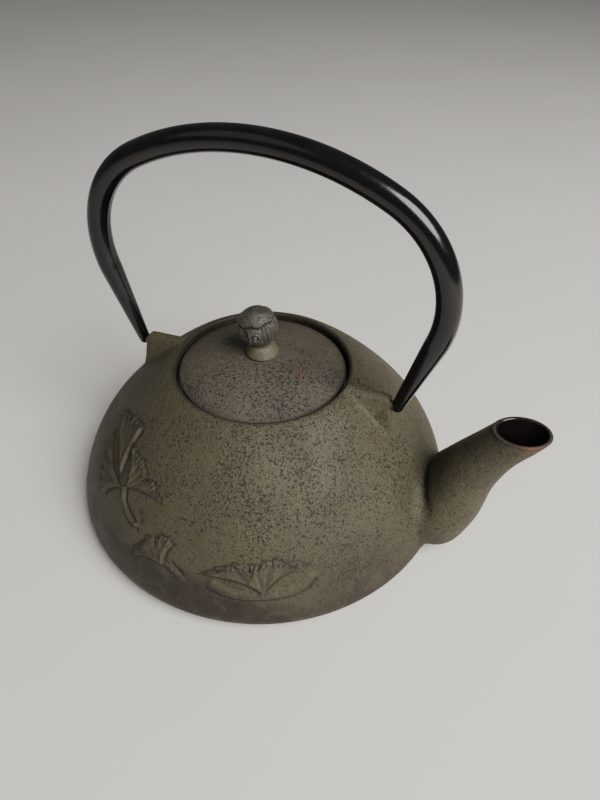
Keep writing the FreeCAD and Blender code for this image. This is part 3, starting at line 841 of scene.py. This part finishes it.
def ear_solid(side):
    """One ear: a wedge with soft edges, wide at its foot and narrow at its crest."""
    corner = math.sqrt(2)
    square = Matrix.Rotation(math.radians(45), 4, "Z")
    places = []
    for height, reach, half in EAR_LEVELS:
        middle = Matrix.Translation(Vector(((EAR_INNER + reach) / 2, 0, height)) * MM)
        size = Matrix.Diagonal(((reach - EAR_INNER) / 2 * corner * MM, half * corner * MM, 1, 1))
        places.append(middle @ size @ square)
    bm = lofted(places, 4)
    outer = [edge for edge in bm.edges if min(vert.co.x for vert in edge.verts) > EAR_INNER * 1.1 * MM
             or min(vert.co.z for vert in edge.verts) > EAR_LEVELS[1][0] * MM]
    bmesh.ops.bevel(bm, geom=outer, offset=EAR_EDGE * MM, offset_type="OFFSET", segments=4, profile=0.5,
                    affect="EDGES", material=-1, clamp_overlap=True)
    bmesh.ops.scale(bm, vec=(side, 1, 1), verts=bm.verts)
    bmesh.ops.recalc_face_normals(bm, faces=bm.faces)
    return object_from(bm, f"ear_{'front' if side > 0 else 'rear'}")


def peg_hole(side):
    """The round blind hole for a peg."""
    turn = Matrix.Rotation(math.radians(90), 4, "Y")
    bm = bmesh.new()
    place = Matrix.Translation((side * HOLE_REACH * MM, 0, HOLE_HEIGHT * MM)) @ turn
    bmesh.ops.create_cone(bm, cap_ends=True, segments=32, radius1=HOLE_RADIUS * MM,
                          radius2=HOLE_RADIUS * MM, depth=HOLE_DEPTH * MM, matrix=place)
    bmesh.ops.recalc_face_normals(bm, faces=bm.faces)
    return object_from(bm, f"peg_hole_{'front' if side > 0 else 'rear'}")


def tree_of(piece):
    """A search tree over an object's faces."""
    bm = bmesh.new()
    bm.from_mesh(piece.data)
    found = BVHTree.FromBMesh(bm)
    bm.free()
    return found


def signed(tree, point):
    """Distance to a closed skin, less than 0 inside it, and the skin's direction there."""
    place, normal, _, distance = tree.find_nearest(point)
    away = point - place
    if distance < 1e-7:
        return 0.0, normal
    outside = away.dot(normal) > 0
    return (distance if outside else -distance), (away / distance if outside else -away / distance)


def soften_joint(piece, first, second, blend, region, rounds=3):
    """Fills the crease where two joined skins meet, over the vertices in the region."""
    for vert in piece.data.vertices:
        if not region(vert.co):
            continue
        for _ in range(rounds):
            near, near_way = signed(first, vert.co)
            far, far_way = signed(second, vert.co)
            share = min(max(0.5 + 0.5 * (far - near) / blend, 0.0), 1.0)
            if share in (0.0, 1.0):
                break
            level = far * (1 - share) + near * share - blend * share * (1 - share)
            way = far_way * (1 - share) + near_way * share
            if way.length < 0.2:
                break
            vert.co -= way * level / way.length_squared


def build_pot_casting(pot, look):
    """The whole casting: dome, spout and ears joined, then hollowed, with enamel on the inside."""
    casting = dome_solid(pot)
    dome_tree = tree_of(casting)
    spout = spout_solid(pot)
    spout_tree = tree_of(spout)
    combined(casting, spout, "UNION")
    soften_joint(casting, dome_tree, spout_tree, pot.spout_blend,
                 lambda place: place.x > 0.055 and abs(place.y) < 0.034 and place.z < 0.066)
    for side in (1, -1):
        ear = ear_solid(side)
        ear_tree = tree_of(ear)
        combined(casting, ear, "UNION")
        soften_joint(casting, dome_tree, ear_tree, pot.ear_blend,
                     lambda place: (0.038 < place.x * side < 0.066 and abs(place.y) < 0.016
                                    and place.z > 0.044))
    cavity = object_from(turned(cavity_outline(pot), ((0, 360, 120),)), "pot_cavity")
    cavity_tree = tree_of(cavity)
    combined(casting, cavity, "DIFFERENCE")
    bore = bore_solid(pot)
    bore_tree = tree_of(bore)
    combined(casting, bore, "DIFFERENCE")
    for side in (1, -1):
        combined(casting, peg_hole(side), "DIFFERENCE")
    bm = bmesh.new()
    bm.from_mesh(casting.data)
    bmesh.ops.dissolve_degenerate(bm, edges=bm.edges, dist=SAME_PLACE)
    bmesh.ops.triangulate(bm, faces=[face for face in bm.faces if len(face.verts) > 4])
    touching = 3e-5
    for face in bm.faces:
        middle = face.calc_center_median()
        near = min(cavity_tree.find_nearest(middle)[3], bore_tree.find_nearest(middle)[3])
        inner = near < touching and not (middle.z > pot.seat_height - MM and middle.x < pot.flank_radius)
        face.material_index = 1 if inner else 0
    bm.to_mesh(casting.data)
    bm.free()
    paint_pot(casting, pot)
    iron = cast_iron("pot_iron", look.iron, look.iron_brown, look)
    finishes = [iron, black_enamel("black_enamel", look.enamel, 0.16, 0.12)]
    slots = [polygon.material_index for polygon in casting.data.polygons]
    finished(casting, "pot", finishes, ["pot_body"], 50)
    casting.data.polygons.foreach_set("material_index", slots)
    return casting


def paint_pot(casting, pot):
    """Where the pot is pitted, scorched at the foot and rusty, with painted shade in its grooves, at the lid
    gap, in the spout's root crease and on the lower left away from the light.
    """
    points = coordinates(casting.data)
    around, up, radius = chart(points, dome_side(pot))
    x, y, z = (points / MM).T
    on_dome = np.abs(np.hypot(x, y) - radius) < 2.5
    height, shade = sprays(around, up, radius)
    painted_shade = shade * on_dome * (z > pot.flank_height / MM * 0.6) * (z < pot.neck_height / MM)
    toward_spout = ramp(np.cos(np.radians(around + 28)), 0.35, 0.97)
    front = ramp(np.cos(np.radians(around - 285)), 0.1, 0.9)
    spout = ramp(x, 84, 92) * (1 - 0.75 * ramp(z, 70, 74))
    pitting = 0.64 + 0.24 * toward_spout + 0.20 * front * ramp(up, 45, 66)
    pitting -= 0.26 * front * (1 - ramp(up, 15, 50))
    pitting = np.where(x > 86, 0.85 * spout, pitting) * (1 - 0.8 * np.clip(height, 0, 1) * on_dome)
    ears = (np.abs(x) > 46) & (np.abs(y) < 6) & (z > 66)
    pitting = np.where(ears, 0.55, pitting)
    # Painted shade: the lower left, away from the light, is darkened through the scorch attribute, and the
    # dark band at the foot rises higher there.
    low_left = ramp(np.cos(np.radians(around - 246)), 0.40, 0.98)
    foot = 1 - ramp(up, 10, 24 + 16 * low_left)
    scorch_and_shade = foot * (0.40 + 2.2 * low_left)
    scorch_and_shade += 0.55 * bell(np.hypot((around - 322) * 1.4, up - 24), 18)
    # Painted shade in the crease where the spout's root meets the dome.
    root = bell(np.hypot(x - 82, z - 42), 9) * (np.abs(y) < 24)
    scorch_and_shade = np.clip(scorch_and_shade + 0.5 * root, 0, 1) * (z < 66)
    ear_rust = bell(np.hypot(np.abs(x) - 59.4, np.hypot(y, z - 66.2)), 2.4)
    lip_rust = 0.4 * bell(np.hypot(x - 117, np.hypot(y + 9, z - 73)), 4.5)
    # Painted shade on the mouth's inner wall, its ledge and the inner part of the rim, for the gap round the
    # lid.
    mouth = (1 - ramp(np.hypot(x, y), 38.9, 39.7)) * (z > 62)
    point, outward = mouth_plane()
    under_lip = np.abs((points / MM - np.array(point) / MM) @ np.array(outward))
    # A darker band just under the spout's lip.
    lip_darkening = 0.62 * (1 - ramp(under_lip, 0.5, 1.6)) * (x > 95)
    # Painted shade in the relief's grooves and dents and at the lid gap in the mouth, together with the
    # darker band under the spout's lip.
    attribute(casting, "painted_shade", np.maximum(np.maximum(0.95 * mouth, painted_shade), lip_darkening))
    attribute(casting, "pitting", np.clip(pitting, 0, 1))
    attribute(casting, "scorch_and_shade", scorch_and_shade)
    attribute(casting, "rust", np.clip(ear_rust + lip_rust, 0, 1))


# ---------------------------------------------------------------- lid and knob

def build_lid(lid, look):
    """The lid: a low dome with a soft edge over a short skirt."""
    bm = turned(lid_outline(lid), ((0, 360, 160),), closed=True)
    for vert in bm.verts:
        away = math.hypot(vert.co.x, vert.co.y)
        if vert.co.z > lid.edge_top and away < LID_HIGH.x - MM:
            vert.co.z += 0.10 * MM * noise.noise(vert.co * 55)
    piece = object_from(bm, "lid_casting")
    points = coordinates(piece.data) / MM
    lid_reach = 36.8
    facing = (points[:, 0] * LEAF_SIDE[0] + points[:, 1] * LEAF_SIDE[1]) / lid_reach
    top = points[:, 2] > 68.6
    away = np.hypot(points[:, 0], points[:, 1])
    pitting = (0.45 + 0.60 * ramp(facing, -0.25, 0.42)) * top * ramp(away, 6.0, 9.0)
    attribute(piece, "pitting", pitting * (1 - ramp(away, 35.4, 36.4)))
    # Painted shade on the lid's outer edge, for the gap between the lid and the rim.
    attribute(piece, "painted_shade", 0.95 * ramp(away, 35.8, 36.5))
    spot = np.hypot(points[:, 0] - 20.2, points[:, 1] + 4.9)
    attribute(piece, "rust", 0.40 * bell(spot, 1.6) * top)
    # Darker towards the lid's edge.
    attribute(piece, "scorch_and_shade", 0.25 * ramp(away, 30, 37) * top)
    iron = cast_iron("lid_iron", look.lid_iron, look.lid_brown, look)
    under = black_enamel("lid_enamel", look.enamel, 0.2, 0.12)
    finished(piece, "lid", [iron, under], ["lid"])
    inside_skirt = lid.skirt_radius - lid.skirt_wall * 0.5
    for polygon in piece.data.polygons:
        middle = polygon.center
        low = middle.z < lid.edge_bottom + 0.2 * MM
        hollow = math.hypot(middle.x, middle.y) < inside_skirt and polygon.normal.z < 0.3
        polygon.material_index = 1 if low or hollow else 0
    return piece


def build_collar(lid, look):
    """The flared collar between the lid and the knob."""
    bm = turned(collar_outline(lid), ((0, 360, 72),), closed=True)
    piece = object_from(bm, "collar_casting")
    iron = cast_iron("collar_iron", look.collar_iron, look.lid_iron, look, 0.56, 0.6, pitted=False)
    return finished(piece, "lid", iron, ["knob_collar"])


def knob_relief(direction):
    """Height in millimetres and painted shade of the carving at a direction from the knob's centre."""
    rise = math.degrees(math.asin(max(-1.0, min(1.0, direction.z))))
    around = math.degrees(math.atan2(direction.y, direction.x))
    height, shade = 0.0, 0.0
    brim = 27 + 5.5 * abs(math.sin(math.radians(around * 3.5 + 20)))
    over = rise - brim
    cap = 1 / (1 + math.exp(-over / 1.4))
    height += 0.34 * cap + 0.22 * math.exp(-((over - 4) / 3.5) ** 2)
    height -= 0.42 * math.exp(-((over + 4.5) / 3.2) ** 2)
    # shade is painted shade in the carving's hollows, troughs and lines.
    shade += 0.75 * math.exp(-((over + 3.5) / 2.8) ** 2)
    below = 1 - cap
    for index in range(3):
        heading = -72 + 120 * index
        turn = (around - heading + 180) % 360 - 180
        flat = turn * math.cos(math.radians(rise))
        curl = math.hypot(flat, rise + 6)
        spiral = math.cos(math.tau * curl / 11.5 - math.atan2(rise + 6, flat))
        reach = math.exp(-(curl / 15.5) ** 4)
        height += below * 0.36 * spiral * reach
        shade += below * 0.75 * max(0.0, -spiral) * reach
        hollow = math.exp(-((flat + 33) / 10.5) ** 2 - ((rise - 2) / 15) ** 4)
        height -= below * 0.85 * hollow
        shade += below * 0.8 * hollow
        band = math.exp(-((flat + 20) / 3.2) ** 2) * math.exp(-((rise + 8) / 26) ** 4)
        height += below * 0.30 * band
        rib_zone = 1 / (1 + math.exp(-(flat - 20) / 2.5)) / (1 + math.exp((flat - 72) / 3.0))
        rib = math.cos(math.radians(turn * 26)) * rib_zone * math.exp(-((rise + 2) / 30) ** 4)
        height += below * 0.24 * rib
        shade += below * 0.6 * max(0.0, -rib)
    foot = math.exp(-((rise + 52) / 5) ** 2)
    height += 0.18 * foot
    shade += 0.5 * math.exp(-((rise + 43) / 4) ** 2)
    return height, min(shade, 1.0)


def build_knob(lid, look):
    """The carved ball, loose on its rivet and leaning a little."""
    radius = KNOB_HIGH.x
    core = radius * 0.955
    carving = 1.45
    flat = -(KNOB_HIGH.z - radius - KNOB_LOW.z)
    bm = bmesh.new()
    bmesh.ops.create_uvsphere(bm, u_segments=168, v_segments=120, radius=core)
    shades = []
    for vert in bm.verts:
        direction = vert.co.normalized()
        height, shade = knob_relief(direction)
        mottle = noise.noise(direction * 7) * 0.10 + noise.noise(direction * 16) * 0.05
        vert.co += direction * (height + mottle - 0.1) * carving * MM
        vert.co.z = max(vert.co.z, flat)
        shades.append(shade)
    sway = math.asin(lid.knob_sway / -flat)
    lean = Matrix.Rotation(sway, 4, Vector(LEAF_SIDE))
    foot = Matrix.Translation((0, 0, KNOB_LOW.z))
    bmesh.ops.transform(bm, verts=bm.verts, matrix=foot @ lean @ Matrix.Translation((0, 0, -flat)))
    bmesh.ops.recalc_face_normals(bm, faces=bm.faces)
    piece = object_from(bm, "knob_ball")
    # Painted shade in the knob's carving.
    attribute(piece, "painted_shade", shades)
    iron = cast_iron("knob_iron", look.knob_iron, look.knob_dark, look, 0.40, 0.7, pitted=False)
    return finished(piece, "knob", iron, ["lid_knob"], 60)


# ---------------------------------------------------------------- bail

def bail_places(bail, steps=34):
    """Rings along the bail's centre line, from the front peg over the top to the rear peg."""
    crown, corner = bail.crown_radius, bail.corner_radius
    top = BAIL_HIGH.z - bail.tube_radius
    crown_height = top - crown
    aside = bail.half_width - corner
    corner_rise = math.sqrt((crown - corner) ** 2 - aside ** 2)
    corner_height = crown_height + corner_rise
    joint = math.atan2(corner_rise, aside)
    lean = math.radians(bail.leg_lean)
    leg_top = Vector((aside + corner * math.cos(lean), corner_height - corner * math.sin(lean)))
    drop = (leg_top.y - bail.pivot_height) / math.cos(lean)
    down = Vector((-math.sin(lean), -math.cos(lean)))
    line_points = []
    for step in range(steps):
        part = 1 - step / steps
        line_points.append((leg_top + down * drop * part, -down, part))
    for step in range(steps):
        angle = -lean + (joint + lean) * step / steps
        out = Vector((math.cos(angle), math.sin(angle)))
        line_points.append((Vector((aside, corner_height)) + out * corner, Vector((-out.y, out.x)), 0.0))
    for step in range(steps + 1):
        angle = joint + (math.pi / 2 - joint) * step / steps
        out = Vector((math.cos(angle), math.sin(angle)))
        line_points.append((Vector((0, crown_height)) + out * crown, Vector((-out.y, out.x)), 0.0))
    mirrored = [(Vector((-point.x, point.y)), Vector((along.x, -along.y)), part)
                for point, along, part in reversed(line_points[:-1])]
    return line_points + mirrored


def build_bail(bail, look):
    """The bent tube of the bail, which tapers down its legs and has a seam along its inner side."""
    places = []
    for point, along, part in bail_places(bail):
        radius = bail.tube_radius + (bail.tip_radius - bail.tube_radius) * part
        forward = Vector((along.x, 0, along.y)).normalized()
        side = Vector((0, 1, 0))
        inward = side.cross(forward)
        turn = Matrix((inward, side, forward)).transposed().to_4x4()
        ring = Matrix.Diagonal((radius, radius, 1, 1))
        places.append(Matrix.Translation((point.x, 0, point.y)) @ turn @ ring)
    tips = []
    tip_steps = 4
    tip_turn = 88
    for end, place in ((0, places[0]), (1, places[-1])):
        for step in range(1, tip_steps + 1):
            angle = math.radians(tip_turn * step / tip_steps)
            slide = math.sin(angle) * bail.tip_radius * (1 if end else -1)
            shrink = math.cos(angle)
            tips.append(place @ Matrix.Translation((0, 0, slide)) @ Matrix.Diagonal((shrink, shrink, 1, 1)))
    places = list(reversed(tips[:tip_steps])) + places + tips[tip_steps:]
    bm = lofted(places, 48)
    centre = Vector((0, 0, 108 * MM))
    seam_half_width = 0.35 * MM
    seam_end = 80 * MM
    for vert in bm.verts:
        if abs(vert.co.y) < seam_half_width and vert.co.z > seam_end:
            toward = centre - vert.co
            if toward.dot(vert.normal) > 0:
                vert.co -= vert.normal * bail.seam
    piece = object_from(bm, "bail_tube")
    black = black_enamel("bail_black", look.bail, 0.17, 0.05)
    return finished(piece, "bail", black, ["handle_bail"], 60)


# ---------------------------------------------------------------- basket

def wired(bm, name, wire):
    """Turns the edges of a skin into woven wire."""
    piece = object_from(bm, name)
    modifier = piece.modifiers.new("wire", "WIREFRAME")
    modifier.thickness = wire
    modifier.use_even_offset = False
    modifier.use_boundary = True
    baked(piece)
    return piece


def build_basket(basket, look):
    """Rim, wire wall, wire floor and foot band of the infuser basket."""
    plain = steel("basket_steel", look.steel, 0.24, 0.25)
    woven = steel("mesh_steel", look.steel, 0.34, 0.35)
    outer = BAND_HIGH.x
    inner = outer - basket.band_wall
    rim = turned(band_outline(inner, outer, RIM_LOW.z, RIM_HIGH.z, RIM_HIGH.x), ((0, 360, 120),), closed=True)
    finished(object_from(rim, "basket_rim"), "infuser", plain, ["infuser_rim"])
    band = turned(band_outline(inner, outer, BAND_LOW.z, BAND_HIGH.z), ((0, 360, 120),), closed=True)
    finished(object_from(band, "basket_foot_band"), "infuser", plain, ["infuser_bottom_band"])

    radius = MESH_HIGH.x - basket.wire
    columns = round(math.tau * radius / basket.pitch)
    rows = round((MESH_HIGH.z - MESH_LOW.z) / basket.pitch)
    wall = turned(line((radius, MESH_LOW.z), (radius, MESH_HIGH.z), rows), ((0, 360, columns),))
    piece = wired(wall, "basket_mesh_wall", basket.wire)
    finished(piece, "infuser", woven, ["infuser_mesh_wall"], 80)

    bm = bmesh.new()
    cells = round(2 * radius / basket.pitch)
    height = (FLOOR_LOW.z + FLOOR_HIGH.z) / 2
    bmesh.ops.create_grid(bm, x_segments=cells, y_segments=cells, size=radius)
    bmesh.ops.translate(bm, vec=(0, 0, height), verts=bm.verts)
    far = [vert for vert in bm.verts if math.hypot(vert.co.x, vert.co.y) > radius]
    bmesh.ops.delete(bm, geom=far, context="VERTS")
    piece = wired(bm, "basket_mesh_floor", basket.wire)
    finished(piece, "infuser", woven, ["infuser_mesh_floor"], 80)


def finish_steel_nodes(look):
    """Pegs, rivet and washer keep their own shapes and get their dull steel."""
    dull = steel("peg_steel", look.peg, 0.42, 0.6)
    for name in ("handle_hook_front", "handle_hook_rear", "knob_rivet", "rivet_washer"):
        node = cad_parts[name]
        node.data.materials.clear()
        node.data.materials.append(dull)


# ---------------------------------------------------------------- stage

def build_stage(stage, look):
    """Floor, lights and camera."""
    bm = bmesh.new()
    bmesh.ops.create_grid(bm, x_segments=8, y_segments=8, size=4.0)
    floor = object_from(bm, "floor")
    floor.data.materials.append(pale_floor(look))

    scene = bpy.context.scene
    world = bpy.data.worlds.new("soft_light")
    world.use_nodes = True
    back = world.node_tree.nodes["Background"]
    back.inputs[0].default_value = (0.95, 0.97, 1.0, 1.0)
    back.inputs[1].default_value = stage.sky
    scene.world = world

    lights = (
        ("window_light", (0.75, -0.30, 0.85), 0.80, stage.key_power, (1.0, 0.97, 0.92)),
        ("fill_light", (-0.55, -0.75, 0.90), 0.90, stage.fill_power, (0.96, 0.98, 1.0)),
    )
    target = Vector((0.0, 0.0, 0.06))
    for name, place, size, power, colour in lights:
        data = bpy.data.lights.new(name, "AREA")
        data.shape = "DISK"
        data.size = size
        data.energy = power
        data.color = colour
        light = bpy.data.objects.new(name, data)
        light.location = place
        light.rotation_euler = (target - Vector(place)).to_track_quat("-Z", "Y").to_euler()
        scene.collection.objects.link(light)

    data = bpy.data.cameras.new("camera")
    data.lens = stage.lens
    data.sensor_width = 36.0
    data.clip_start = 0.01
    camera = bpy.data.objects.new("camera", data)
    heading = math.radians(stage.azimuth)
    down = math.radians(stage.tilt)
    level = Vector((-math.sin(heading), math.cos(heading), 0.0))
    forward = level * math.cos(down) - Vector((0, 0, math.sin(down)))
    right = level.cross(Vector((0, 0, 1)))
    up = right.cross(forward)
    facing = Matrix((right, up, -forward)).transposed().to_4x4()
    roll = Matrix.Rotation(math.radians(stage.roll), 4, "Z")
    camera.matrix_world = Matrix.Translation(stage.camera) @ facing @ roll
    scene.collection.objects.link(camera)
    scene.camera = camera


# ---------------------------------------------------------------- operators

class TEAPOT_OT_pot(bpy.types.Operator):
    """Build the pot casting with its spout, ears, leaf relief and enamel"""
    bl_idname = "teapot.pot"
    bl_label = "Pot casting"

    def execute(self, context):
        build_pot_casting(context.scene.teapot_pot, context.scene.teapot_finish)
        return {"FINISHED"}


class TEAPOT_OT_lid(bpy.types.Operator):
    """Build the lid and the collar on it"""
    bl_idname = "teapot.lid"
    bl_label = "Lid and collar"

    def execute(self, context):
        build_lid(context.scene.teapot_lid, context.scene.teapot_finish)
        build_collar(context.scene.teapot_lid, context.scene.teapot_finish)
        return {"FINISHED"}


class TEAPOT_OT_knob(bpy.types.Operator):
    """Build the carved knob"""
    bl_idname = "teapot.knob"
    bl_label = "Knob"

    def execute(self, context):
        build_knob(context.scene.teapot_lid, context.scene.teapot_finish)
        return {"FINISHED"}


class TEAPOT_OT_bail(bpy.types.Operator):
    """Build the bail and finish its pegs"""
    bl_idname = "teapot.bail"
    bl_label = "Bail"

    def execute(self, context):
        build_bail(context.scene.teapot_bail, context.scene.teapot_finish)
        finish_steel_nodes(context.scene.teapot_finish)
        return {"FINISHED"}


class TEAPOT_OT_basket(bpy.types.Operator):
    """Build the infuser basket"""
    bl_idname = "teapot.basket"
    bl_label = "Infuser basket"

    def execute(self, context):
        build_basket(context.scene.teapot_basket, context.scene.teapot_finish)
        return {"FINISHED"}


class TEAPOT_OT_stage(bpy.types.Operator):
    """Set the floor, the lights and the camera"""
    bl_idname = "teapot.stage"
    bl_label = "Stage"

    def execute(self, context):
        build_stage(context.scene.teapot_stage, context.scene.teapot_finish)
        return {"FINISHED"}


OPERATORS = (TEAPOT_OT_pot, TEAPOT_OT_lid, TEAPOT_OT_knob, TEAPOT_OT_bail, TEAPOT_OT_basket, TEAPOT_OT_stage)
GROUPS = {
    "teapot_pot": TeapotPot, "teapot_lid": TeapotLid, "teapot_bail": TeapotBail,
    "teapot_basket": TeapotBasket, "teapot_finish": TeapotFinish, "teapot_stage": TeapotStage,
}


class TEAPOT_PT_panel(bpy.types.Panel):
    """Sizes, colours and builders of the teapot"""
    bl_label = "Cast iron teapot"
    bl_idname = "TEAPOT_PT_panel"
    bl_space_type = "VIEW_3D"
    bl_region_type = "UI"
    bl_category = "Teapot"

    def draw(self, context):
        for operator in OPERATORS:
            self.layout.operator(operator.bl_idname)
        for name, group in GROUPS.items():
            box = self.layout.box()
            box.label(text=name.replace("teapot_", "").capitalize())
            for key in group.__annotations__:
                box.prop(getattr(context.scene, name), key)


def register():
    for group in GROUPS.values():
        bpy.utils.register_class(group)
    for name, group in GROUPS.items():
        setattr(bpy.types.Scene, name, PointerProperty(type=group))
    for operator in OPERATORS:
        bpy.utils.register_class(operator)
    bpy.utils.register_class(TEAPOT_PT_panel)


def unregister():
    bpy.utils.unregister_class(TEAPOT_PT_panel)
    for operator in reversed(OPERATORS):
        bpy.utils.unregister_class(operator)
    for name, group in GROUPS.items():
        delattr(bpy.types.Scene, name)
        bpy.utils.unregister_class(group)


def main():
    register()
    bpy.ops.teapot.stage()
    bpy.ops.teapot.pot()
    bpy.ops.teapot.lid()
    bpy.ops.teapot.knob()
    bpy.ops.teapot.bail()
    bpy.ops.teapot.basket()


if __name__ == "__main__":
    main()
